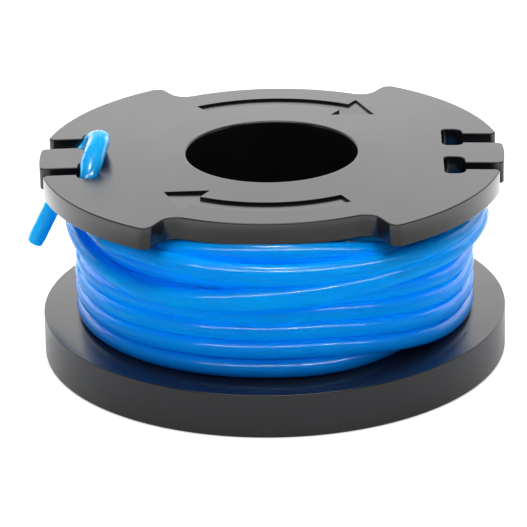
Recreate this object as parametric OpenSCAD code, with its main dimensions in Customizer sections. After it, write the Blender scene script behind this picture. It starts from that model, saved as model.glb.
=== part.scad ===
// Replacement line spool for a grass trimmer: two flanges on a hollow hub, feed lugs
// under the base flange, and one wound length of nylon line whose end is parked in the top flange.
// Z is the spool's axis and z = 0 is the surface that the base flange rests on.

/* [Spool body] */
// Diameter of the base flange
flange_d = 60; // [59:0.5:62]
// Diameter of the top flange
top_flange_d = 59.7; // [59.4:0.1:60.4]
// Height of the spool body at its bore
spool_h = 26.7; // [26.6:0.1:27.5]
// Fall of the top face from the bore to the rim
crown = 0.4; // [0.1:0.1:0.5]
// Thickness of the top flange at its rim
top_flange_t = 2.9; // [2.6:0.1:3]
// Thickness of the base flange
base_flange_t = 5.8; // [5.6:0.1:5.9]
// Diameter of the bore that runs on the trimmer's spindle
bore_d = 22; // [18:0.5:23]
// Wall of the hub that the line is wound on
hub_wall = 2.3; // [1.8:0.1:3]

/* [Top flange] */
// Depth of the two notches in the rim
notch_depth = 5.2; // [3:0.1:6]
// Half of the angle that one notch spans
notch_half_angle = 30.4; // [24:0.1:34]
// Width of the two front line slots
front_slot_w = 2.4; // [2.3:0.05:3.2]
// Width of the two back line slots
back_slot_w = 3.3; // [2.6:0.05:3.4]
// Distance from the spool's axis to the middle of the front slots
front_slot_y = 5.5; // [5.2:0.05:6]
// Distance from the spool's axis to the middle of the back slots
back_slot_y = 4.6; // [4.2:0.05:5.4]
// Width of the wide inner end of a slot, across the slot
slot_head_w = 5.9; // [5:0.1:6.2]
// Depth of the arrows sunk into the top face
arrow_depth = 0.35; // [0.2:0.05:0.8]

/* [Base flange] */
// Depth of the ring-shaped recess in the underside
recess_depth = 3.2; // [3:0.1:3.4]
// Number of feed lugs in that recess
lug_count = 8; // [4:1:10]
// Drop of the feed lugs below the recess's roof
lug_drop = 2.4; // [1.4:0.1:2.6]

/* [Line] */
// Diameter of the nylon line
line_d = 2.05; // [1.9:0.05:2.1]
// Height from one turn of the inner layer to the next
turn_pitch = 2.44; // [2.38:0.01:2.46]
// Radius of the inner layer of visible turns, at the front
turn_r = 24.35; // [24.2:0.05:24.5]

/* [Hidden] */
$fn = 96;

// Colours
body_grey = [0.16, 0.16, 0.17];
line_blue = [0.0, 0.5, 0.95];
core_blue = [0.0, 0.36, 0.78];

// Body
flange_r = flange_d / 2;
top_r = top_flange_d / 2;
bore_r = bore_d / 2;
hub_r = bore_r + hub_wall;
rim_z = spool_h - crown;         // top face at the rim
top_under_z = rim_z - top_flange_t;
beyond = 2;             // how far a cutter runs past what it cuts
overlap = 0.004;        // how far a fillet runs into what it blends into, so that they cross cleanly
hub_seat = 1.3;         // depth of the hub's seat in each flange
base_edge = 0.35;       // bevel round the base flange and the bore

// Notches in the top flange's rim
notch_r = top_r - notch_depth;
notch_root_f = 2.1;     // fillet at the foot of a notch's wall
notch_lip_f = 1.3;      // fillet where that wall meets the rim

// Line slots
head_in_x = top_r - 7.9;
head_out_x = top_r - 5.2;
head_shift = 0.3;       // how far a head's middle is behind its slot's middle
head_in_f = 0.8;
head_out_f = 1.2;
mouth_f = 0.7;          // rounding where a slot opens through the rim

// Arrows: a curved shaft that ends in a barbed head
arrow_in_r = 17.8;
arrow_out_r = 20.3;
arrow_tail_a = 119.5;
arrow_neck_a = 60.3;
barb_a = 60.4;
barb_in_r = 15.5;
barb_out_r = 22.3;
arrow_tip_r = 19.05;
arrow_tip_a = 45.4;
arrow_floor_z = spool_h - crown * (arrow_in_r - bore_r) / (top_r - bore_r) - arrow_depth;

// Underside
recess_out_r = flange_r - 3.4;
recess_bevel = 0.5;     // bevel round the recess's roof
web_z = recess_depth;   // the recess's roof
lug_ring_in_r = hub_r + 4.3;
lug_ring_out_r = lug_ring_in_r + 4.4;
lug_ring_t = 0.9;       // ring that joins the lugs
lug_margin = 0.3;       // how much narrower the lugs are than their ring, on each side
lug_span_a = 24;        // angle from a lug's driving face to the foot of its ramp
lug_tip_w = 2.4;        // level tip of a lug, beside its driving face

// Line: turns of the winding, by their angle in degrees. A turn runs clockwise seen from above,
// so the angle falls from one turn to the next.
line_r = line_d / 2;
flat_r = line_r * cos(30);      // height of the six-sided tube's flats over its middle
layer_step = line_d + 0.44;     // from one layer's radius to the next
core_r = 22.5;
turn_in_r = 0.45;               // how much closer the turns lie at the back
turn_out_r = 0.7;               // how much further out they bulge on the side of +X
turn_z0 = base_flange_t + 1;
inner_turns = 7;
ring_a = 15;                    // angle between the tube's rings
start_a = -72;
jog_from_a = -20;               // each inner turn climbs to the next one between these angles
jog_to_a = -80;
ramp_a = 15;                    // length of the ramp that brings the buried line up to the start
// Where the turns are squeezed down under the parked end, and lifted at the front, per turn
squeeze = [0, 0.18, 0.36, 0.54, 0.72, 0.9, 1.08];
lift = [0, 0, 0, 0, 0, 0.1, 0.75];
squeeze_a = -160;
lift_a = -92;
bump_half_a = 52;
// The outer turns, after the sixth pass of the front: [angle, layer, height]
outer_path = [
    [-195, 0, 21.1], [-215, 0.4, 21.61], [-232, 1, 21.81], [-248, 1, 21.51], [-264, 1, 20.08],
    [-282, 1, 18.25], [-300, 1, 17.54], [-330, 1, 17.49], [-387, 1, 17.64], [-430, 1, 17.44],
    [-452, 1, 17.03], [-480, 1, 16.17], [-495, 1, 16.42], [-512, 1.03, 17.44],
    [-530, 1.05, 18.56], [-550, 1.05, 18.86], [-585, 1.03, 18.81], [-600, 1.4, 18.86],
    [-615, 1.99, 19.07], [-630, 2, 19.32], [-645, 2, 19.68], [-660, 1.45, 19.98],
    [-675, 1.03, 20.08], [-690, 1, 20.13], [-780, 1, 20.13], [-812, 1, 20.18], [-835, 1, 20.59],
    [-850, 1, 21.15], [-860, 1, 21.61]
];
outer_from_a = -360 * 6;

// The parked end: off the winding, up through the front slot's head, over the tongue, down the
// back slot and free. Points of its middle.
tail_route = [
    [-20.5, -17.2, 21.6], [-21.9, -15.2, 22.0], [-22.8, -13.1, 22.2], [-23.3, -11.2, 22.2],
    [-23.5, -9.8, 22.2], [-23.5, -8.8, 22.4], [-23.5, -7.9, 23.0], [-23.4, -7.2, 23.9],
    [-23.3, -6.8, 24.9], [-23.2, -6.4, 25.9], [-23.0, -5.6, 26.8], [-22.7, -4.4, 27.6],
    [-22.4, -2.9, 28.2], [-22.1, -1.2, 28.6], [-22.1, 0.5, 28.6], [-22.4, 2.0, 28.1],
    [-22.9, 3.3, 27.2], [-23.5, 4.2, 26.2], [-24.3, 4.6, 25.1], [-25.5, 4.6, 23.7],
    [-26.9, 4.6, 21.6], [-28.2, 4.6, 18.9], [-29.6, 4.6, 16.1], [-31.3, 4.6, 12.7]
];
tail_sides = 8;

// The anchored inner end: through the base flange's web and bent over in the recess
anchor_hole_d = 2.6;
anchor_x = hub_r + 2;
anchor_a = 202.5;
anchor_route = [
    [0, 0, base_flange_t], [0, 0, 4.2], [0, 0, 3.2], [0, 0.2, 2.4], [0, 0.9, 1.7],
    [0, 2.0, 1.4], [0, 4.1, 1.3]
];

// --- Helpers ---------------------------------------------------------------------------

function polar(r, a) = [r * cos(a), r * sin(a)];

// 0 to 1 with level ends
function ease(t) = let (u = min(1, max(0, t))) u * u * (3 - 2 * u);

// 1 at angle 'mid', falling to 0 at half a width on each side
function bump(a, mid, half) =
    let (d = abs(((a - mid) % 360 + 540) % 360 - 180)) ease(1 - d / half);

function wedge(r, a1, a2) = concat([[0, 0]], [for (i = [0:4]) polar(r / cos(20), a1 + (a2 - a1) * i / 4)]);

module ring_sector(r1, r2, a1, a2) {
    intersection() {
        difference() {
            circle(r2);
            circle(r1);
        }
        polygon(wedge(r2 + beyond, a1, a2));
    }
}

// What rounds the corner between a wall and the rim: t is where the fillet leaves the wall,
// out is a point further along the wall, past the rim, and c is the fillet's centre.
module rim_corner(t, out, c, f) {
    clear = 0.3 * (t - c) / norm(t - c);
    difference() {
        polygon([t, t + clear, out + clear, out, c * (top_r + beyond) / norm(c), c]);
        translate(c) circle(f + overlap);
    }
}

// Rings of points round a route, for one closed polyhedron. 'up' keeps the rings from turning
// round the route, and the first and last ring are square to the route's ends.
function cross_unit(a, b) = let (c = cross(a, b)) c / norm(c);
function route_dir(p, i) =
    let (n = len(p) - 1, d = i == 0 ? p[1] - p[0] : i == n ? p[n] - p[n - 1]
        : (p[i + 1] - p[i]) / norm(p[i + 1] - p[i]) + (p[i] - p[i - 1]) / norm(p[i] - p[i - 1]))
    d / norm(d);
function ring(p, dir, side, r, sides, turn) =
    let (up = cross_unit(dir, side), across = cross(up, dir))
    [for (k = [0:sides - 1]) let (a = turn + 360 * k / sides) p + r * (cos(a) * across + sin(a) * up)];

module tube(rings) {
    n = len(rings);
    s = len(rings[0]);
    points = [for (r = rings) for (p = r) p];
    walls = [for (i = [0:n - 2]) for (k = [0:s - 1])
        let (a = i * s + k, b = i * s + (k + 1) % s, c = b + s, d = a + s)
        for (f = [[a, b, c], [a, c, d]]) f];
    first = [for (k = [1:s - 2]) [0, k + 1, k]];
    last = [for (k = [1:s - 2]) [(n - 1) * s, (n - 1) * s + k, (n - 1) * s + k + 1]];
    polyhedron(points = points, faces = concat(walls, first, last));
}

// --- Spool body ------------------------------------------------------------------------

// One notch, on the side of +X
module notch() {
    a = notch_half_angle;
    root_r = notch_r + notch_root_f;
    root_a = asin(notch_root_f / root_r);
    lip_r = top_r - notch_lip_f;
    lip_a = asin(notch_lip_f / lip_r);
    wall_from = sqrt(pow(root_r, 2) - pow(notch_root_f, 2));
    wall_to = sqrt(pow(lip_r, 2) - pow(notch_lip_f, 2));
    ring_sector(notch_r, top_r + beyond, root_a - a, a - root_a);
    ring_sector(wall_from, top_r + beyond, -a, a);
    for (side = [0, 1]) mirror([0, side, 0]) {
        translate(polar(root_r, a - root_a)) circle(notch_root_f + overlap);
        rim_corner(polar(wall_to, a), polar(top_r + beyond, a), polar(lip_r, a + lip_a), notch_lip_f);
    }
}

// The wide inner end of a slot, on the line y = 0
module slot_head() {
    half = slot_head_w / 2;
    translate([head_in_x + head_in_f, -half])
        square([head_out_x - head_out_f - head_in_x - head_in_f, slot_head_w]);
    translate([head_in_x, head_in_f - half])
        square([head_in_f, slot_head_w - 2 * head_in_f]);
    translate([head_out_x - head_out_f, head_out_f - half])
        square([head_out_f, slot_head_w - 2 * head_out_f]);
    for (side = [-1, 1]) {
        translate([head_in_x + head_in_f, side * (half - head_in_f)]) circle(head_in_f + overlap);
        translate([head_out_x - head_out_f, side * (half - head_out_f)]) circle(head_out_f + overlap);
    }
}

// A slot w wide whose middle is the line y = mid, with both corners of its mouth rounded
module line_slot(mid, w) {
    translate([0, mid + head_shift]) slot_head();
    translate([head_out_x - 0.5, mid - w / 2]) square([top_r + beyond - head_out_x, w]);
    for (side = [-1, 1]) {
        wall = mid + side * w / 2;
        centre_y = wall + side * mouth_f;
        centre_x = sqrt(pow(top_r - mouth_f, 2) - pow(centre_y, 2));
        rim_corner([centre_x, wall], [top_r + beyond, wall], [centre_x, centre_y], mouth_f);
    }
}

module arrow() {
    ring_sector(arrow_in_r, arrow_out_r, arrow_neck_a - 2, arrow_tail_a);
    polygon([
        polar(barb_in_r, barb_a),
        polar(arrow_tip_r, arrow_tip_a),
        polar(barb_out_r, barb_a),
        polar(arrow_out_r - 0.3, arrow_neck_a),
        polar(arrow_in_r + 0.3, arrow_neck_a)
    ]);
}

module top_flange() {
    color(body_grey) difference() {
        rotate_extrude() polygon([
            [bore_r, top_under_z], [top_r, top_under_z], [top_r, rim_z], [bore_r, spool_h]
        ]);
        translate([0, 0, top_under_z - 1]) linear_extrude(spool_h - top_under_z + 2) {
            for (a = [90, 270]) rotate(a) notch();
            for (side = [0, 1]) mirror([side, 0, 0]) {
                line_slot(-front_slot_y, front_slot_w);
                line_slot(back_slot_y, back_slot_w);
            }
        }
        translate([0, 0, arrow_floor_z]) linear_extrude(arrow_depth + 1)
            for (a = [0, 180]) rotate(a) arrow();
        translate([0, 0, top_under_z - 1]) cylinder(r = hub_r, h = hub_seat + 1);
    }
}

module hub() {
    bottom = base_flange_t - hub_seat;
    color(body_grey) translate([0, 0, bottom]) difference() {
        cylinder(r = hub_r, h = top_under_z + hub_seat - bottom);
        translate([0, 0, -1]) cylinder(r = bore_r, h = spool_h);
    }
}

module base_flange() {
    b = base_edge;
    seat_z = base_flange_t - hub_seat;
    color(body_grey) difference() {
        rotate_extrude() polygon([
            [bore_r, b], [bore_r + b, 0], [hub_r - b, 0], [hub_r, b],
            [hub_r, web_z - recess_bevel], [hub_r + recess_bevel, web_z],
            [recess_out_r - recess_bevel, web_z], [recess_out_r, web_z - recess_bevel],
            [recess_out_r, b], [recess_out_r + b, 0], [flange_r - b, 0], [flange_r, b],
            [flange_r, base_flange_t - b], [flange_r - b, base_flange_t],
            [hub_r, base_flange_t], [hub_r, seat_z], [bore_r, seat_z]
        ]);
        rotate(anchor_a) translate([anchor_x, 0, web_z - 1])
            cylinder(d = anchor_hole_d, h = base_flange_t);
    }
}

// A ring under the web with lugs that the trimmer's head drives: one face of each lug is
// upright, and the other is a ramp.
module feed_lugs() {
    in_r = lug_ring_in_r + lug_margin;
    out_r = lug_ring_out_r - lug_margin;
    tip_z = web_z - lug_drop;
    ring_z = web_z - lug_ring_t;
    ramp_foot = in_r * sin(lug_span_a) - 0.2;
    slope = atan((ring_z - tip_z) / (ramp_foot - lug_tip_w));
    color(body_grey) {
        translate([0, 0, ring_z]) linear_extrude(lug_ring_t) difference() {
            circle(lug_ring_out_r);
            circle(lug_ring_in_r);
        }
        for (i = [0:lug_count - 1]) rotate(i * 360 / lug_count) difference() {
            translate([0, 0, tip_z]) linear_extrude(lug_drop - lug_ring_t / 2)
                ring_sector(in_r, out_r, 0, lug_span_a);
            translate([0, lug_tip_w, tip_z]) rotate([slope, 0, 0])
                translate([0, 0, -flange_r]) cube([flange_r, flange_r, flange_r]);
        }
    }
}

// --- Line ------------------------------------------------------------------------------

// The buried turns, with the ramp that brings the line up to where the winding starts
module line_core() {
    gap = 0.05;
    color(core_blue) {
        translate([0, 0, base_flange_t]) linear_extrude(top_under_z - base_flange_t - gap) difference() {
            circle(core_r);
            circle(hub_r);
        }
        translate([0, 0, base_flange_t]) linear_extrude(line_d) polygon([
            polar(core_r - 1, start_a + ramp_a),
            polar(core_r, start_a + ramp_a),
            polar(layer_r(start_a, 0) + line_r, start_a),
            polar(core_r - 1, start_a)
        ]);
    }
}

function layer_r(a, layer) = turn_r - turn_in_r * (1 + sin(a)) / 2 + turn_out_r * pow((1 + cos(a)) / 2, 3)
    + layer * layer_step;

function inner_point(a) =
    let (passed = (jog_from_a - a) / 360,
        whole = floor(passed),
        jog = ease((passed - whole) * 360 / (jog_from_a - jog_to_a)),
        turn = max(0, whole - 1 + jog),
        k = min(inner_turns - 1, round(turn)))
    [a, 0, turn_z0 + turn * turn_pitch + lift[k] * bump(a, lift_a, bump_half_a)
        - squeeze[k] * bump(a, squeeze_a, bump_half_a)];

// The outer turns pass smoothly through outer_path
function slope_at(t, i, c) =
    i == 0 || i == len(t) - 1 ? 0 : (t[i + 1][c] - t[i - 1][c]) / (t[i + 1][0] - t[i - 1][0]);
function path_value(t, i, a, c) =
    let (w = t[i + 1][0] - t[i][0], u = (a - t[i][0]) / w)
    t[i][c] * (1 + 2 * u) * pow(1 - u, 2) + slope_at(t, i, c) * w * u * pow(1 - u, 2)
    + t[i + 1][c] * u * u * (3 - 2 * u) + slope_at(t, i + 1, c) * w * u * u * (u - 1);
function path_index(t, a) = max([for (i = [0:len(t) - 2]) if (t[i][0] >= a || i == 0) i]);
function outer_point(a) =
    let (b = a - outer_from_a, i = path_index(outer_path, b))
    [a, path_value(outer_path, i, b, 1), path_value(outer_path, i, b, 2)];

function winding_point(a) = a > outer_from_a + outer_path[0][0] ? inner_point(a) : outer_point(a);
function winding_xyz(a) =
    let (q = winding_point(a), p = polar(layer_r(a, q[1]), a)) [p[0], p[1], q[2]];

// Each end of the winding runs straight for one diameter
end_a = outer_from_a + outer_path[len(outer_path) - 1][0];
start_dir = [cos(start_a - 90), sin(start_a - 90), 0];
end_dir = let (d = tail_route[1] - tail_route[0]) d / norm(d);
winding_start = winding_xyz(start_a);
winding_end = tail_route[0];
winding_line = concat(
    [winding_start, winding_start + line_d * start_dir],
    [for (a = [start_a - 18:-ring_a:end_a + 12]) winding_xyz(a)],
    [winding_end - line_d * end_dir, winding_end]
);
winding_rings = [for (i = [0:len(winding_line) - 1])
    let (p = winding_line[i], out = [p[0], p[1], 0] / norm([p[0], p[1]]))
    ring(p, route_dir(winding_line, i), out, line_r, 6, 0)];

// The least distance between two rings of the winding that are more than a quarter turn apart
function to_edge(p, a, b) = let (d = b - a, t = min(1, max(0, (p - a) * d / (d * d)))) norm(p - a - t * d);
function rings_gap(r, s) = min([for (p = r, k = [0:5]) to_edge(p, s[k], s[(k + 1) % 6])]);
function winding_gap() =
    let (n = len(winding_line))
    min([for (i = [0:n - 7], j = [i + 6:1:n - 1])
        if (norm(winding_line[i] - winding_line[j]) < 2 * line_d)
            min(rings_gap(winding_rings[i], winding_rings[j]), rings_gap(winding_rings[j], winding_rings[i]))]);

module line_winding() {
    echo(str("line_winding: ", len(winding_line), " rings, least gap to itself ", winding_gap(), " mm"));
    color(line_blue) tube(winding_rings);
}

module line_tail() {
    color(line_blue) tube([for (i = [0:len(tail_route) - 1])
        ring(tail_route[i], route_dir(tail_route, i), [-1, 0, 0], line_r, tail_sides, 22.5)]);
}

module line_anchor() {
    color(line_blue) rotate(anchor_a) translate([anchor_x, 0, 0])
        tube([for (i = [0:len(anchor_route) - 1])
            ring(anchor_route[i], route_dir(anchor_route, i), [1, 0, 0], line_r, tail_sides, 22.5)]);
}

top_flange();
hub();
base_flange();
feed_lugs();
line_core();
line_winding();
line_tail();
line_anchor();
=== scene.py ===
"""The looks of a grass trimmer's line spool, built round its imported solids."""

import math

import bpy
import numpy as np
from mathutils import Matrix, Vector, geometry


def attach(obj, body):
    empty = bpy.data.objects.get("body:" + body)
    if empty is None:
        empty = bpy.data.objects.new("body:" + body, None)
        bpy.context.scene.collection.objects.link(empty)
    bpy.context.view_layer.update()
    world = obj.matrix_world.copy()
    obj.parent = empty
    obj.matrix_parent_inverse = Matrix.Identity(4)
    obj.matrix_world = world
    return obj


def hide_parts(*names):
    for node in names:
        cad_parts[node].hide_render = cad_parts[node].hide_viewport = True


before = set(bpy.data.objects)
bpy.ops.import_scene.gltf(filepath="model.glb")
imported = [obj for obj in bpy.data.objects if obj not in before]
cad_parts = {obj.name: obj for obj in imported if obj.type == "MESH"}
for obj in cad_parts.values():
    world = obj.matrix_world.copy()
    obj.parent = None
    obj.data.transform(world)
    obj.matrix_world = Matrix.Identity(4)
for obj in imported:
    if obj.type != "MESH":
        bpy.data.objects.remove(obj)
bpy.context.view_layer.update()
MM = 0.001

# Sizes of the spool, in millimetres, from its source. The spool stands on z = 0.
FLANGE_R = 30.0
TOP_R = 29.85
SPOOL_H = 26.7
CROWN = 0.4             # fall of the top face from the bore to the rim
TOP_T = 2.9
BASE_T = 5.8
BORE_R = 11.0
HUB_R = 13.3
TOP_UNDER = SPOOL_H - CROWN - TOP_T
HUB_TOP = TOP_UNDER + 1.3       # the hub ends inside each flange
HUB_BOTTOM = 4.3                # 0.2 mm lower than in the source
RECESS_R = 26.6         # the ring-shaped recess under the base flange
RECESS_TOP = 3.2
ANCHOR_R = HUB_R + 2    # the hole that holds the line's inner end
ANCHOR_A = 202.5
ANCHOR_HOLE_R = 1.3

# An arrow in the top face: a curved shaft and a head with two barbs and a tip
SHAFT_IN_R, SHAFT_OUT_R = 17.8, 20.3
SHAFT_HEAD_A, SHAFT_TAIL_A = 60.34, 119.5
BARB_IN_R, BARB_OUT_R, BARB_A = 15.5, 22.3, 60.4
TIP_R, TIP_A = 19.05, 45.4
ARROW_DEPTH = 0.35
ARROW_FLOOR = SPOOL_H - CROWN * (SHAFT_IN_R - BORE_R) / (TOP_R - BORE_R) - ARROW_DEPTH

# The line's radius in the winding and in its parked end
LINE_R = 1.07
TAIL_R = 1.12


# --- Camera ----------------------------------------------------------------------------

def make_camera():
    """The camera that took the photo, and its turn about the spool's axis."""
    yaw, pitch, roll, turn = -0.0032, 0.3890, -0.0209, math.radians(0.85)
    focal_px, width_px = 3810.5, 527
    stand = Vector((0.06, -457.71, 198.79)) * MM
    forward = Vector((math.sin(yaw) * math.cos(pitch), math.cos(yaw) * math.cos(pitch),
                      -math.sin(pitch)))
    level = Vector((math.cos(yaw), -math.sin(yaw), 0))
    over = level.cross(forward)
    right = math.cos(roll) * level + math.sin(roll) * over
    up = -math.sin(roll) * level + math.cos(roll) * over
    spin = Matrix.Rotation(turn, 3, "Z")
    axes = Matrix((spin @ right, spin @ up, -(spin @ forward))).transposed()
    data = bpy.data.cameras.new("camera")
    data.sensor_width = 36
    data.lens = focal_px / width_px * data.sensor_width
    # the view was fitted about pixel 263, half a pixel off the picture's middle
    data.shift_x = 0.5 / width_px
    data.shift_y = -0.5 / width_px
    data.clip_start, data.clip_end = 0.01, 20
    camera = bpy.data.objects.new("camera", data)
    camera.matrix_world = Matrix.Translation(spin @ stand) @ axes.to_4x4()
    bpy.context.scene.collection.objects.link(camera)
    bpy.context.scene.camera = camera


# --- Meshes ----------------------------------------------------------------------------

def new_object(name, verts, faces, scale=MM):
    """An object in the scene, from vertices in millimetres unless scale says otherwise."""
    mesh = bpy.data.meshes.new(name)
    mesh.from_pydata([tuple(c * scale for c in v) for v in verts], [], faces)
    obj = bpy.data.objects.new(name, mesh)
    bpy.context.scene.collection.objects.link(obj)
    return obj


def add_piece(name, shell, material, replaced, sharp=35):
    """A closed shell that rides on the spool and stands for CAD nodes."""
    obj = new_object(name, shell.verts, shell.faces)
    obj.data.validate()
    obj.data.shade_smooth()
    obj.data.set_sharp_from_angle(angle=math.radians(sharp))
    obj.data.materials.append(material)
    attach(obj, "root")
    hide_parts(*replaced)
    return obj


def polar(r, degrees):
    a = math.radians(degrees)
    return (r * math.cos(a), r * math.sin(a))


def circle(r, n=160):
    turns = [2 * math.pi * i / n for i in range(n)]
    return [(r * math.cos(t), r * math.sin(t)) for t in turns]


def arc(centre, r, start, end, step):
    """Points of an arc, both ends included, at most step apart. Angles in degrees."""
    n = max(2, math.ceil(abs(end - start) / step))
    turns = [math.radians(start + (end - start) * i / n) for i in range(n + 1)]
    return [(centre[0] + r * math.cos(t), centre[1] + r * math.sin(t)) for t in turns]


def without_repeats(points, least=1e-4):
    """A closed loop without points that lie on the one before."""
    kept = []
    for p in points:
        if not kept or math.dist(p, kept[-1]) > least:
            kept.append(p)
    if math.dist(kept[0], kept[-1]) <= least:
        kept.pop()
    return kept


def offset(loop, d):
    """The loop moved by d to its right, which is outwards where it runs anticlockwise."""
    p = np.array(loop)
    edge = np.roll(p, -1, 0) - p
    edge /= np.linalg.norm(edge, axis=1)[:, None]
    normal = np.stack([edge[:, 1], -edge[:, 0]], 1)
    before = np.roll(normal, 1, 0)
    corner = (before + normal) / (1 + (before * normal).sum(1))[:, None]
    return p + d * corner


class Shell:
    """Vertices and faces of one mesh, added ring by ring."""

    def __init__(self):
        self.verts, self.faces = [], []

    def ring(self, points, z):
        """Adds vertices at one height and returns their numbers."""
        start = len(self.verts)
        self.verts += [(float(x), float(y), float(z)) for x, y in points]
        return list(range(start, len(self.verts)))

    def band(self, lower, upper, flip=False):
        """Faces between two rings. They face outwards, or inwards with flip."""
        n = len(lower)
        for i in range(n):
            j = (i + 1) % n
            quad = (lower[i], lower[j], upper[j], upper[i])
            self.faces.append(quad[::-1] if flip else quad)

    def cap(self, rings, down=False, inside=(), z=0.0):
        """A level face between rings: the first is its outline, the others are its holes. Points
        inside it become vertices of its own, at height z."""
        inside_with_holes, least = 2, 1e-7
        extra = [q for q in inside if self.lies_within(q, rings)]
        ids = [i for r in rings for i in r] + self.ring(extra, z)
        points = [Vector(self.verts[i][:2]) for i in ids]
        loops, start = [], 0
        for r in rings:
            loops.append(list(range(start, start + len(r))))
            start += len(r)
        found = geometry.delaunay_2d_cdt(points, [], loops, inside_with_holes, least)
        faces, sources = found[2], found[3]
        for tri in faces:
            a, b, c = (ids[sources[k][0]] for k in tri)
            ax, ay, _ = self.verts[a]
            bx, by, _ = self.verts[b]
            cx, cy, _ = self.verts[c]
            turns_left = (bx - ax) * (cy - ay) - (by - ay) * (cx - ax) > 0
            self.faces.append((a, b, c) if turns_left != down else (a, c, b))

    def lies_within(self, point, rings, clear=0.3):
        """True where a point is between the rings and clear of them."""
        x, y = point
        crossings = 0
        for r in rings:
            p = np.array([self.verts[i][:2] for i in r])
            q = np.roll(p, -1, 0)
            d = q - p
            t = np.clip(((point - p) * d).sum(1) / (d * d).sum(1), 0, 1)[:, None]
            if np.hypot(*(p + t * d - point).T).min() < clear:
                return False
            spans = (p[:, 1] > y) != (q[:, 1] > y)
            rise = (y - p[spans, 1]) / (q[spans, 1] - p[spans, 1])
            crossings += int((p[spans, 0] + rise * (q[spans, 0] - p[spans, 0]) > x).sum())
        return crossings % 2 == 1


def rounded_edge(r, steps=4):
    """(offset, drop) pairs of an edge of radius r, from the level face to the wall."""
    turns = [math.pi / 2 * i / steps for i in range(steps + 1)]
    return [(r * math.sin(t) - r, r - r * math.cos(t)) for t in turns]


def rounded_profile(corners, steps=5):
    """(r, z, radius) corners as a closed line in (r, z), rounded where the radius isn't 0."""
    points, n = [], len(corners)
    for i, (r, z, f) in enumerate(corners):
        here = np.array((r, z))
        if not f:
            points.append((r, z))
            continue
        before = np.array(corners[i - 1][:2]) - here
        after = np.array(corners[(i + 1) % n][:2]) - here
        before /= np.linalg.norm(before)
        after /= np.linalg.norm(after)
        half = math.acos(np.clip(before @ after, -1, 1)) / 2
        reach = f / math.tan(half)
        centre = here + (before + after) / np.linalg.norm(before + after) * f / math.sin(half)
        a, b = here + before * reach - centre, here + after * reach - centre
        sweep = math.copysign(math.pi - 2 * half, a[0] * b[1] - a[1] * b[0])
        for k in range(steps + 1):
            t = sweep * k / steps
            points.append((centre[0] + a[0] * math.cos(t) - a[1] * math.sin(t),
                           centre[1] + a[0] * math.sin(t) + a[1] * math.cos(t)))
    return points


def turned_shell(profile, n):
    """A ring turned from a closed profile that runs anticlockwise in (r, z)."""
    shell = Shell()
    rings = [shell.ring(circle(r, n), z) for r, z in profile]
    for i in range(len(rings)):
        shell.band(rings[i], rings[(i + 1) % len(rings)])
    return shell


def cut_hole(obj, x, y, r, low_z, high_z, sides=40):
    """Takes an upright round hole out of a piece."""
    shell = Shell()
    loop = [(x + px, y + py) for px, py in circle(r, sides)]
    low, high = shell.ring(loop, low_z), shell.ring(loop, high_z)
    shell.band(low, high)
    shell.faces += [tuple(reversed(low)), tuple(high)]
    cutter = new_object("cutter", shell.verts, shell.faces)
    cut = obj.modifiers.new("hole", "BOOLEAN")
    cut.operation, cut.object, cut.solver = "DIFFERENCE", cutter, "EXACT"
    view = bpy.context.evaluated_depsgraph_get()
    view.update()
    made = bpy.data.meshes.new_from_object(obj.evaluated_get(view), depsgraph=view)
    obj.modifiers.clear()
    obj.data = made
    bpy.data.objects.remove(cutter)


# --- Moulding --------------------------------------------------------------------------

def half_outline():
    """The top flange's rim on the side of +X, from -Y to +Y: half a notch, the rim with the two
    line slots and the tongue between them, and half the other notch."""
    head_in_x, head_out_x = 21.95, 24.65    # the wide inner end of a slot
    head_half_w, head_shift = 2.95, 0.3     # it lies this far off the slot's middle
    head_in_f, head_out_f, mouth_f = 0.8, 1.2, 0.7
    front_y, front_half_w = -5.5, 1.2
    back_y, back_half_w = 4.6, 1.65
    notch_r, notch_a = 24.65, 59.6
    root_f, lip_f = 2.1, 1.3                # the notch's inner and outer corners
    wall_left = 0.02                        # of a head's wall beside the slot, once it is rounded
    rim_step, wide_step, tight_step = 1.5, 9, 10
    lip_a = notch_a - math.degrees(math.asin(lip_f / (TOP_R - lip_f)))
    root_a = notch_a + math.degrees(math.asin(root_f / (notch_r + root_f)))

    def slot(mid, half_w):
        """Where a slot's two mouths start and end along the rim, and its outline between them."""
        low, high = mid - half_w, mid + half_w
        head_low, head_high = mid + head_shift - head_half_w, mid + head_shift + head_half_w
        low_f = min(head_out_f, low - head_low - wall_left)
        mouths = []
        for y in (low - mouth_f, high + mouth_f):
            x = math.sqrt((TOP_R - mouth_f) ** 2 - y ** 2)
            mouths.append(((x, y), math.degrees(math.atan2(y, x))))
        (first, first_a), (second, second_a) = mouths
        return first_a, second_a, (
            arc(first, mouth_f, first_a, 90, tight_step)
            + [(head_out_x, low)]
            + arc((head_out_x - low_f, head_low + low_f), low_f, 0, -90, wide_step)
            + arc((head_in_x + head_in_f, head_low + head_in_f), head_in_f, -90, -180, tight_step)
            + arc((head_in_x + head_in_f, head_high - head_in_f), head_in_f, 180, 90, tight_step)
            + arc((head_out_x - head_out_f, head_high - head_out_f), head_out_f, 90, 0, wide_step)
            + [(head_out_x, high)]
            + arc(second, mouth_f, -90, second_a, tight_step))

    corner = (arc(polar(TOP_R - lip_f, lip_a), lip_f, lip_a, notch_a + 90, wide_step)
              + arc(polar(notch_r + root_f, root_a), root_f, notch_a - 90, root_a - 180, wide_step)
              + arc((0, 0), notch_r, root_a, 90, rim_step))
    corner_below = [(x, -y) for x, y in reversed(corner)]
    front_a, front_end_a, front = slot(front_y, front_half_w)
    back_a, back_end_a, back = slot(back_y, back_half_w)
    return (corner_below + arc((0, 0), TOP_R, -lip_a, front_a, rim_step) + front
            + arc((0, 0), TOP_R, front_end_a, back_a, rim_step) + back
            + arc((0, 0), TOP_R, back_end_a, lip_a, rim_step) + corner)


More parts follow.
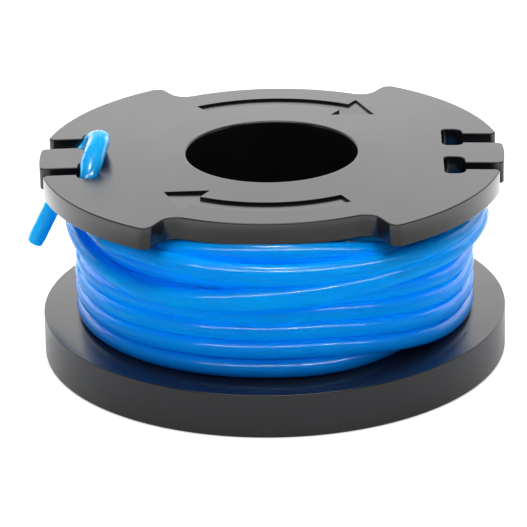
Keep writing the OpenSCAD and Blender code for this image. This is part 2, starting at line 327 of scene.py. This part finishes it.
def flange_outline():
    """The whole rim of the top flange: its left half mirrors the right one."""
    half = half_outline()
    return without_repeats(half + [(-x, y) for x, y in reversed(half)])


def arrow_outline(turned):
    """An arrow that points clockwise, turned about the axis by some degrees."""
    step = 2
    loop = (arc((0, 0), SHAFT_OUT_R, SHAFT_HEAD_A, SHAFT_TAIL_A, step)
            + arc((0, 0), SHAFT_IN_R, SHAFT_TAIL_A, SHAFT_HEAD_A, step)
            + [polar(BARB_IN_R, BARB_A), polar(TIP_R, TIP_A), polar(BARB_OUT_R, BARB_A)])
    c, s = math.cos(math.radians(turned)), math.sin(math.radians(turned))
    return without_repeats([(c * x - s * y, s * x + c * y) for x, y in loop])


def crowned(vert, band=0.31):
    """A vertex, lowered if it is within band of the top face, which falls from bore to rim."""
    x, y, z = vert
    if z <= SPOOL_H - band:
        return vert
    return (x, y, z - CROWN * (max(math.hypot(x, y), BORE_R) - BORE_R) / (TOP_R - BORE_R))


def make_top_flange(material):
    """The slotted and notched disc with its two sunk arrows."""
    edge_f, under_f, bore_f, arrow_f = 0.15, 0.2, 0.3, 0.05
    arrow_mid = arrow_f * 0.3           # the middle of an arrow's rounded lip
    hold, arrow_hold = 0.14, 0.06       # strips beside the edges that keep the flat faces' shading
    spread_r, spread_gap, spokes = (12.6, 29.4), 1.2, 120
    shell = Shell()
    outline = flange_outline()
    # the rim, from the top face over its rounded edge and down to the underside
    rim = [shell.ring(offset(outline, -edge_f - hold), SPOOL_H)]
    rim += [shell.ring(offset(outline, d), SPOOL_H - drop) for d, drop in rounded_edge(edge_f)]
    rim += [shell.ring(offset(outline, d), TOP_UNDER + drop)
            for d, drop in reversed(rounded_edge(under_f))]
    rim += [shell.ring(offset(outline, -under_f - hold), TOP_UNDER)]
    for upper, lower in zip(rim, rim[1:]):
        shell.band(lower, upper)
    # the bore, then the seat of the hub
    bore = [shell.ring(circle(BORE_R + bore_f + hold), SPOOL_H)]
    bore += [shell.ring(circle(BORE_R - d), SPOOL_H - drop) for d, drop in rounded_edge(bore_f)]
    bore += [shell.ring(circle(BORE_R), HUB_TOP), shell.ring(circle(HUB_R), HUB_TOP),
             shell.ring(circle(HUB_R), TOP_UNDER)]
    for upper, lower in zip(bore, bore[1:]):
        shell.band(lower, upper, flip=True)
    mouths = []
    for turned in (0, 180):
        loop = arrow_outline(turned)
        walls = [shell.ring(offset(loop, arrow_f + arrow_hold), SPOOL_H),
                 shell.ring(offset(loop, arrow_f), SPOOL_H),
                 shell.ring(offset(loop, arrow_mid), SPOOL_H - arrow_mid),
                 shell.ring(loop, SPOOL_H - arrow_f),
                 shell.ring(loop, ARROW_FLOOR)]
        for upper, lower in zip(walls, walls[1:]):
            shell.band(lower, upper, flip=True)
        shell.cap([walls[-1]])
        mouths.append(walls[0])
    # the top face has points of its own, every second ring of them turned by half a step
    apart = 360 / spokes
    spread = [polar(r, apart * (i + k % 2 / 2))
              for k, r in enumerate(np.arange(*spread_r, spread_gap)) for i in range(spokes)]
    shell.cap([rim[0], bore[0], *mouths], inside=spread, z=SPOOL_H)
    shell.cap([rim[-1], bore[-1]], down=True)
    shell.verts = [crowned(v) for v in shell.verts]
    add_piece("top_flange_moulding", shell, material, ["top_flange"])


def make_hub(material):
    """The plain tube between the flanges."""
    profile = [(BORE_R, HUB_BOTTOM), (HUB_R, HUB_BOTTOM), (HUB_R, HUB_TOP), (BORE_R, HUB_TOP)]
    add_piece("hub_tube", turned_shell(profile, 160), material, ["hub"])


def make_base_flange(material):
    """The thick disc with the recess under it, the hub's seat and the hole for the line."""
    foot_f, recess_f, top_f = 0.35, 0.5, 0.14
    profile = rounded_profile([
        (BORE_R, 0, foot_f), (HUB_R, 0, foot_f), (HUB_R, RECESS_TOP, recess_f),
        (RECESS_R, RECESS_TOP, recess_f), (RECESS_R, 0, foot_f), (FLANGE_R, 0, foot_f),
        (FLANGE_R, BASE_T, top_f), (HUB_R, BASE_T, 0), (HUB_R, HUB_BOTTOM, 0),
        (BORE_R, HUB_BOTTOM, 0)])
    base = add_piece("base_flange_moulding", turned_shell(profile, 288), material, ["base_flange"])
    # the cutter runs past both faces
    cut_hole(base, *polar(ANCHOR_R, ANCHOR_A), ANCHOR_HOLE_R, RECESS_TOP - 1, BASE_T + 0.8)


# --- Line ------------------------------------------------------------------------------

# The outer turns by angle after the sixth pass of the front: angle, layer, height
OUTER = [
    (-195, 0, 21.1), (-215, 0.4, 21.61), (-232, 1, 21.81), (-248, 1, 21.51),
    (-264, 1, 20.08), (-282, 1, 18.25), (-300, 1, 17.54), (-330, 1, 17.49),
    (-371, 1.1, 18.66), (-387, 1.1, 18.45), (-411, 1.1, 18.35), (-430, 1, 17.79),
    (-452, 1, 17.08), (-480, 1, 16.17), (-495, 1, 16.42), (-512, 1.03, 17.44),
    (-530, 1.05, 18.56), (-550, 1.05, 18.86), (-585, 1.03, 18.81), (-600, 1.4, 18.86),
    (-615, 1.99, 19.07), (-630, 2, 19.32), (-645, 2, 19.68), (-660, 1.45, 19.98),
    (-675, 1.03, 20.08), (-690, 1, 20.13), (-780, 1, 20.13), (-812, 1, 20.24),
    (-835, 1, 20.69), (-850, 1, 21.2), (-860, 1, 21.61),
]
OUTER_FROM_A = -2160

# The winding's angles, which fall as the line runs on: clockwise, seen from above
WINDING_FROM_A, WINDING_TO_A, WINDING_STEP_A = -30.0, OUTER_FROM_A - 848.0, 2.5
FIRST_TURN_Z = BASE_T + 1.14
TURN_PITCH = 2.44
JOG_FROM_A, JOG_PART = -20, 6                   # a turn steps up to the next in a sixth of a round
LAYER_STEP = 1.8
TURN_R, TURN_IN, TURN_OUT = 24.35, 0.45, 0.7    # closer in at the back, further out at +X
RISE, RISE_FROM_A, RISE_SPAN_A = 2.3, -38, 42   # how the first turn comes up from the buried ones

# Per turn from the bottom: how much it is lifted and how many layers it is pushed out at the front,
# how much it is squeezed down under the parked end, and how much it bulges at -X
FRONT_A, PARKED_A, BUMP_HALF_A = -92, -160, 52
LIFT = [0.1, 0.25, 0.25, 0.05, -0.1, -0.05, 0.75]
PUSH = [0, 0, 0, 0, 0, 0.4, 0]
SQUEEZE = [0, 0.18, 0.36, 0.54, 0.72, 0.9, 1.08]
BULGE = [0.5, 0.5, 0.5, 0.4, 0.1, -0.25, -0.35]     # the outer turns go as the last one

# The parked end's route, as in the source
TAIL_ROUTE = [
    (-20.5, -17.2, 21.6), (-21.9, -15.2, 22.0), (-22.8, -13.1, 22.2), (-23.3, -11.2, 22.2),
    (-23.5, -9.8, 22.2), (-23.5, -8.8, 22.4), (-23.5, -7.9, 23.0), (-23.4, -7.2, 23.9),
    (-23.3, -6.8, 24.9), (-23.2, -6.4, 25.9), (-23.0, -5.6, 26.8), (-22.7, -4.4, 27.6),
    (-22.4, -2.9, 28.2), (-22.1, -1.2, 28.6), (-22.1, 0.5, 28.6), (-22.4, 2.0, 28.1),
    (-22.9, 3.3, 27.2), (-23.5, 4.2, 26.2), (-24.3, 4.6, 25.1), (-25.5, 4.6, 23.7),
    (-26.9, 4.6, 21.6), (-28.2, 4.6, 18.9), (-29.6, 4.6, 16.1), (-31.3, 4.6, 12.7),
]

# The inner end's route through its hole, from the hole's axis
ANCHOR_ROUTE = [
    (0, 0, 5.6), (0, 0, 4.2), (0, 0, 3.2), (0, 0.2, 2.4), (0, 0.9, 1.7), (0, 2.0, 1.4),
    (0, 4.1, 1.3),
]


def ease(t):
    """0 to 1 with a level start and end."""
    t = min(1.0, max(0.0, t))
    return t * t * (3 - 2 * t)


def bump(a, mid, half=BUMP_HALF_A):
    """1 at one angle of the turn, falling to 0 at half on either side."""
    away = abs((a - mid + 180) % 360 - 180)
    return ease(1 - away / half)


def per_turn(table, turn):
    """A value of the inner turns, blended where one turn steps up to the next."""
    low = min(len(table) - 1, int(turn))
    high = min(len(table) - 1, low + 1)
    part = turn - low
    return table[low] * (1 - part) + table[high] * part


def smooth_table(table, x):
    """Columns of a table at x, smoothly between its rows, whose first column falls."""
    keys = [row[0] for row in table]
    i = max(0, min(len(keys) - 2, sum(1 for k in keys if k >= x) - 1))

    def slope(j, c):
        if j in (0, len(keys) - 1):
            return 0.0
        return (table[j + 1][c] - table[j - 1][c]) / (keys[j + 1] - keys[j - 1])

    w = keys[i + 1] - keys[i]
    u = min(1.0, max(0.0, (x - keys[i]) / w))
    return [table[i][c] * (1 + 2 * u) * (1 - u) ** 2 + slope(i, c) * w * u * (1 - u) ** 2
            + table[i + 1][c] * u * u * (3 - 2 * u) + slope(i + 1, c) * w * u * u * (u - 1)
            for c in range(1, len(table[0]))]


def through(points, steps):
    """A smooth line through points, with some steps between each two (centripetal Catmull-Rom)."""
    p = [Vector(q) for q in points]
    p = [2 * p[0] - p[1]] + p + [2 * p[-1] - p[-2]]
    line = []
    for i in range(1, len(p) - 2):
        q = p[i - 1:i + 3]
        t = [0.0]
        for k in range(3):
            t.append(t[-1] + math.sqrt((q[k + 1] - q[k]).length))

        def blend(before, after, first, last, x):
            whole = t[last] - t[first]
            return before * ((t[last] - x) / whole) + after * ((x - t[first]) / whole)

        for s in range(steps):
            x = t[1] + (t[2] - t[1]) * s / steps
            a = [blend(q[k], q[k + 1], k, k + 1, x) for k in range(3)]
            b = [blend(a[k], a[k + 1], k, k + 2, x) for k in range(2)]
            line.append(blend(b[0], b[1], 1, 2, x))
    line.append(p[-2])
    return line


def tube_shell(line, side_of, radii, sides=20, round_end=False):
    """A closed tube along a line. side_of gives a direction across it at a point, and radii its
    half width along that direction and its half height."""
    end_inset = 0.9     # the last ring's size, where the end is rounded
    shell = Shell()
    rings = []
    n = len(line)
    for i, p in enumerate(line):
        ahead = (line[min(n - 1, i + 1)] - line[max(0, i - 1)]).normalized()
        side = side_of(p)
        side = (side - ahead * side.dot(ahead)).normalized()
        over = ahead.cross(side)
        wide, high = radii(i)
        inset = end_inset if round_end and i == n - 1 else 1.0
        start = len(shell.verts)
        for k in range(sides):
            t = 2 * math.pi * k / sides
            out = wide * math.cos(t) * side + high * math.sin(t) * over
            shell.verts.append(tuple(p + inset * out))
        rings.append(list(range(start, start + sides)))
    for a, b in zip(rings, rings[1:]):
        shell.band(a, b)
    shell.faces.append(tuple(reversed(rings[0])))
    shell.faces.append(tuple(rings[-1]))
    return shell


def radial(p):
    """The direction away from the spool's axis."""
    return Vector((p.x, p.y, 0)).normalized()


def turn_point(a):
    """(layer, height, bulge) of the winding at angle a, which falls as the line runs on."""
    if a <= OUTER_FROM_A + OUTER[0][0]:
        return [*smooth_table(OUTER, a - OUTER_FROM_A), BULGE[-1]]
    passed = (JOG_FROM_A - a) / 360
    whole = math.floor(passed)
    turn = max(0.0, whole - 1 + ease((passed - whole) * JOG_PART))
    at_front, at_parked = bump(a, FRONT_A), bump(a, PARKED_A)
    height = (FIRST_TURN_Z + TURN_PITCH * turn
              + per_turn(LIFT, turn) * at_front - per_turn(SQUEEZE, turn) * at_parked)
    return [per_turn(PUSH, turn) * at_front, height, per_turn(BULGE, turn)]


def winding_line():
    """The route of the visible turns."""
    n = int((WINDING_FROM_A - WINDING_TO_A) / WINDING_STEP_A)
    points = []
    for i in range(n + 1):
        a = WINDING_FROM_A + (WINDING_TO_A - WINDING_FROM_A) * i / n
        layer, z, bulge = turn_point(a)
        sine, cosine = math.sin(math.radians(a)), math.cos(math.radians(a))
        r = (TURN_R - TURN_IN * (1 + sine) / 2 + TURN_OUT * ((1 + cosine) / 2) ** 3
             + bulge * ((1 - cosine) / 2) ** 3 + layer * LAYER_STEP)
        r -= RISE * (1 - ease((RISE_FROM_A - a) / RISE_SPAN_A))
        points.append(Vector((*polar(r, a), z)))
    return points


def make_winding(material):
    """The visible turns, as one tube that is pressed against itself."""
    steps, seam_inset, free_rings = 4, 0.04, 30
    wider, taller = 0.03, 0.13          # how much a turn is pressed out of round
    drawn, drawn_half_a, drawn_turns = 0.24, 60, range(4, 9)
    line = winding_line()
    # it runs on a little inside the parked end, so that no seam shows
    joined = through([tuple(line[-2]), tuple(line[-1]), TAIL_ROUTE[0], TAIL_ROUTE[1]], steps)
    line = line[:-1] + joined[steps:2 * steps + 2]
    last = len(line) - 1
    # the turns are pressed together, and the upper ones are drawn apart at the front
    pressed = [ease((last - i) / free_rings) for i in range(last + 1)]
    tall = []
    for i in range(last + 1):
        a = WINDING_FROM_A - WINDING_STEP_A * i
        near = [ease(1 - abs(a - FRONT_A + 360 * turn) / drawn_half_a) for turn in drawn_turns]
        tall.append(drawn * sum(near))

    def radii(i):
        r = LINE_R - (seam_inset if i == last else 0)
        return (r + wider * pressed[i], r + taller * pressed[i] + tall[i])

    shell = tube_shell(line, radial, radii, sides=24)
    return add_piece("outer_turns", shell, material, ["line_winding"], sharp=60)


def make_tail(material):
    """The parked end: up through one slot, over the tongue and down through the other."""
    flat_from_z, flat_span, wider, lower = 26.0, 1.3, 0.3, 0.14
    steps, growing_rings = 4, 24
    line = through(TAIL_ROUTE, steps)

    def radii(i):
        # the line is pressed flat where it is bent hard over the tongue
        r = LINE_R + (TAIL_R - LINE_R) * ease(i / growing_rings)
        flat = ease((line[i].z - flat_from_z) / flat_span)
        return (r + wider * flat, r - lower * flat)

    shell = tube_shell(line, lambda p: Vector((-1, 0, 0)), radii, round_end=True)
    obj = add_piece("parked_end", shell, material, ["line_tail"], sharp=60)
    return obj


def make_anchor(material):
    """The line's inner end, which goes down through its hole and turns aside in the recess."""
    spin = Matrix.Rotation(math.radians(ANCHOR_A), 3, "Z")
    line = through([tuple(spin @ Vector((ANCHOR_R + x, y, z))) for x, y, z in ANCHOR_ROUTE], 4)
    across = spin @ Vector((1, 0, 0))
    shell = tube_shell(line, lambda p: across, lambda i: (LINE_R, LINE_R), round_end=True)
    return add_piece("anchored_end", shell, material, ["line_anchor"], sharp=60)


def make_core(material):
    """The buried turns: a drum whose surface is a layer of wound line."""
    turns, steps, start_a = 8, 96, 110
    coil_r, drum_r = 23.2, 22.4
    gap_below, gap_above, drum_gap = 0.02, 0.03, 0.05
    climb = 4           # each turn climbs in its first quarter
    low, high = BASE_T + LINE_R + gap_below, TOP_UNDER - LINE_R - gap_above
    line = []
    for i in range(turns * steps + 1):
        t = i / steps
        whole = math.floor(t)
        z = low + (high - low) * (whole + ease((t - whole) * climb)) / turns
        line.append(Vector((*polar(coil_r, start_a - 360 * t), min(z, high))))
    shell = tube_shell(line, radial, lambda i: (LINE_R, LINE_R), sides=14)
    drum_top = TOP_UNDER - drum_gap
    drum = [shell.ring(circle(r, steps), z)
            for r, z in ((HUB_R, BASE_T), (drum_r, BASE_T), (drum_r, drum_top), (HUB_R, drum_top))]
    for i in range(4):
        shell.band(drum[i], drum[(i + 1) % 4])
    return add_piece("buried_turns", shell, material, ["line_core"], sharp=60)


# --- Materials -------------------------------------------------------------------------

def give(tree, node, inputs):
    """Sets a node's inputs to values, or links them to other nodes' outputs."""
    for key, value in inputs.items():
        if isinstance(value, bpy.types.NodeSocket):
            tree.links.new(value, node.inputs[key])
        else:
            node.inputs[key].default_value = value


def add_node(tree, kind, inputs=None, **props):
    """A new node with its properties and inputs."""
    made = tree.nodes.new(kind)
    for key, value in props.items():
        setattr(made, key, value)
    give(tree, made, inputs or {})
    return made


def noise(tree, place, scale, **more):
    inputs = {"Vector": place, "Scale": scale, "Detail": 2.0, **more}
    return add_node(tree, "ShaderNodeTexNoise", inputs).outputs["Fac"]


def mapped(tree, value, start, end, low=0.0, high=1.0):
    """value, as it goes from start to end, taken from low to high and held there."""
    return add_node(tree, "ShaderNodeMapRange", {"Value": value, "From Min": start, "From Max": end,
                                                 "To Min": low, "To Max": high}).outputs["Result"]


def ramp(tree, value, *stops):
    """A colour that follows value through (position, colour) stops."""
    made = add_node(tree, "ShaderNodeValToRGB", {"Fac": value})
    elements = made.color_ramp.elements
    for element, (position, colour) in zip((elements[0], elements[1]), (stops[0], stops[-1])):
        element.position, element.color = position, (*colour, 1)
    for position, colour in stops[1:-1]:
        elements.new(position).color = (*colour, 1)
    return made.outputs["Color"]


def mixed(tree, factor, first, second, blend_type="MIX"):
    return add_node(tree, "ShaderNodeMixRGB", {"Fac": factor, "Color1": first, "Color2": second},
                    blend_type=blend_type).outputs["Color"]


def bumped(tree, height, strength, distance):
    return add_node(tree, "ShaderNodeBump", {"Height": height, "Strength": strength,
                                             "Distance": distance}).outputs["Normal"]


def new_material(name):
    """A new material, its node tree and its Principled shader."""
    material = bpy.data.materials.new(name)
    material.use_nodes = True
    return material, material.node_tree, material.node_tree.nodes["Principled BSDF"]


def body_plastic():
    """Black moulded plastic with a satin skin: fine grain and faint flow marks."""
    material, tree, skin = new_material("black_moulded_plastic")
    place = add_node(tree, "ShaderNodeTexCoord").outputs["Object"]
    flow = noise(tree, place, 90.0, Detail=3.0, Roughness=0.55)
    grain = noise(tree, place, 3200.0)
    give(tree, skin, {
        "Base Color": ramp(tree, flow, (0.3, (0.005, 0.005, 0.006)), (0.7, (0.008, 0.008, 0.009))),
        "Roughness": mapped(tree, flow, 0.3, 0.7, 0.19, 0.25),
        "Normal": bumped(tree, grain, 0.06, 0.00002),
        "IOR": 1.5,
    })
    return material


def line_nylon(name, deep, bright, painted_glow=None):
    """Extruded nylon: clear enough to glow, with faint draw marks and a hard gloss. Given a lighter
    colour, the line turns to it towards +Y, where it is alone: painted light, standing in for the
    light that comes through it there."""
    material, tree, skin = new_material(name)
    place = add_node(tree, "ShaderNodeTexCoord").outputs["Object"]
    along = add_node(tree, "ShaderNodeSeparateXYZ", {"Vector": place})
    marks = noise(tree, place, 1500.0)
    colour = ramp(tree, noise(tree, place, 120.0), (0.3, deep), (0.7, bright))
    # the flanges shade the lowest and the highest turns
    height = mapped(tree, along.outputs["Z"], 0.0, 0.025)
    shade = ramp(tree, height, (0.24, (1, 0.54, 0.76)), (0.45, (1, 0.95, 1)), (0.55, (1, 1, 1)),
                 (0.70, (1, 1, 1)), (0.84, (1, 0.86, 0.92)))
    colour = mixed(tree, 1.0, colour, shade, "MULTIPLY")
    # painted light: towards +Y, where the line is alone, its colour turns to the lighter one given,
    # standing in for the light that comes through it
    if painted_glow:
        painted_glow_share = mapped(tree, along.outputs["Y"], -0.016, 0.0046)
        colour = mixed(tree, painted_glow_share, colour, (*painted_glow, 1))
    give(tree, skin, {
        "Base Color": colour,
        "Roughness": mapped(tree, marks, 0.3, 0.7, 0.13, 0.18),
        "Normal": bumped(tree, marks, 0.04, 0.00003),
        "IOR": 1.53,
        "Specular IOR Level": 0.07 if painted_glow else 0.04,
        "Subsurface Weight": 1.0,
        "Subsurface Radius": (0.3, 0.9, 1.5),
        "Subsurface Scale": 0.0022,
    })
    skin.subsurface_method = "BURLEY"
    return material


# --- Stage -----------------------------------------------------------------------------

def make_floor():
    """A pale floor that shows white, and keeps the spool's shadow. Painted reflection: only what
    mirrors it sees it glow, dim in front of the spool (painted shade) and brighter beside and
    behind it (painted light)."""
    half = 3.0
    dimmest = (0.008, -0.05, 0)
    corners = [(-half, -half, 0), (half, -half, 0), (half, half, 0), (-half, half, 0)]
    floor = new_object("floor", corners, [(0, 1, 2, 3)], scale=1)
    material, tree, skin = new_material("pale_floor")
    path = add_node(tree, "ShaderNodeLightPath").outputs
    place = add_node(tree, "ShaderNodeNewGeometry").outputs["Position"]
    # painted reflection: only glossy rays see the floor glow, dim near a point in front of the
    # spool (painted shade) and bright further off (painted light)
    away = add_node(tree, "ShaderNodeVectorMath", {0: place, 1: dimmest}, operation="DISTANCE")
    bright = mapped(tree, away.outputs["Value"], 0.065, 0.115, 0.05, 1.5)
    painted_reflection = add_node(tree, "ShaderNodeMath", {0: path["Is Glossy Ray"], 1: bright},
                        operation="MULTIPLY").outputs[0]
    lift = add_node(tree, "ShaderNodeMath", {0: path["Is Camera Ray"], 1: 0.5, 2: painted_reflection},
                    operation="MULTIPLY_ADD").outputs[0]
    give(tree, skin, {
        "Base Color": (0.86, 0.86, 0.86, 1),
        "Roughness": 0.9,
        "Specular IOR Level": 0.0,
        "Emission Color": (1, 1, 1, 1),
        "Emission Strength": lift,
    })
    floor.data.materials.append(material)


def make_world():
    """A white room, bright behind the spool and dim in front. The camera sees plain white."""
    world = bpy.data.worlds.new("studio")
    bpy.context.scene.world = world
    world.use_nodes = True
    tree = world.node_tree
    direction = add_node(tree, "ShaderNodeTexCoord").outputs["Generated"]
    towards = add_node(tree, "ShaderNodeSeparateXYZ", {0: direction})
    wall = mapped(tree, towards.outputs["Y"], -0.2, 0.8, 0.12, 1.0)
    seen = add_node(tree, "ShaderNodeLightPath").outputs["Is Camera Ray"]
    room = add_node(tree, "ShaderNodeMix", {"Factor": seen, "A": wall, "B": 1.0},
                    data_type="FLOAT").outputs["Result"]
    give(tree, tree.nodes["Background"], {"Strength": room, "Color": (1, 1, 1, 1)})


def area_light(name, place, target, size, power):
    """A rectangular lamp that faces its target, in metres and watts."""
    data = bpy.data.lights.new(name, "AREA")
    data.shape, data.size, data.size_y = "RECTANGLE", size[0], size[1]
    data.energy = power
    lamp = bpy.data.objects.new(name, data)
    lamp.location = place
    lamp.rotation_mode = "QUATERNION"
    lamp.rotation_quaternion = (Vector(target) - Vector(place)).to_track_quat("-Z", "Y")
    bpy.context.scene.collection.objects.link(lamp)
    return lamp


def glint(name, place, target, size, power, pieces):
    """A lamp that shows only as a reflection, and only in some pieces."""
    lamp = area_light(name, place, target, size, power)
    lamp.visible_diffuse = False
    lamp.light_linking.receiver_collection = bpy.data.collections.new(name)
    for piece in pieces:
        lamp.light_linking.receiver_collection.objects.link(piece)


def make_lamps(nylon_pieces):
    middle = (0, 0, 0.015)
    area_light("front", (0.2, -0.8, 0.8), middle, (1.1, 0.16), 0.7)
    glint("front_glint", (0.15, -0.8, 0.8), middle, (2.4, 0.12), 150, nylon_pieces)
    glint("top_glint", (0, -0.2, 1.2), middle, (0.25, 0.25), 45, nylon_pieces)
    glint("left_glint", (-0.65, 0.6, 0.3), middle, (0.8, 0.5), 10, nylon_pieces)
    glint("right_glint", (0.65, 0.6, 0.3), middle, (0.8, 0.5), 10, nylon_pieces)
    area_light("top", (0, -0.15, 1.2), (0, 0, 0), (0.9, 0.9), 11)
    area_light("back", (0.0, 0.75, 0.35), (0, 0, 0.02), (1.2, 0.5), 1.9)
    area_light("left", (-0.8, -0.35, 0.3), middle, (0.4, 0.4), 0.6)
    area_light("right", (0.8, -0.2, 0.3), middle, (0.4, 0.4), 0.7)


# --- Build -----------------------------------------------------------------------------

make_camera()
nylon = line_nylon("blue_nylon", (0.0, 0.345, 0.98), (0.0, 0.395, 1.0))
# the buried turns' copy of the nylon is a little darker than the outer turns': painted shade
shaded_buried_nylon = line_nylon("blue_nylon_buried", (0.0, 0.31, 0.94), (0.0, 0.355, 1.0))
plastic = body_plastic()
# the parked end's nylon turns lighter towards +Y: painted light
free_nylon = line_nylon("blue_nylon_free", (0.0, 0.33, 0.94), (0.0, 0.375, 1.0),
                        painted_glow=(0.01, 0.50, 1.0))
line_pieces = [make_tail(free_nylon), make_winding(nylon), make_anchor(nylon),
               make_core(shaded_buried_nylon)]
make_top_flange(plastic)
make_hub(plastic)
make_base_flange(plastic)
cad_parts["feed_lugs"].data.materials.clear()
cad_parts["feed_lugs"].data.materials.append(plastic)
make_floor()
make_world()
make_lamps(line_pieces)

scene = bpy.context.scene
scene.view_settings.view_transform = "Standard"
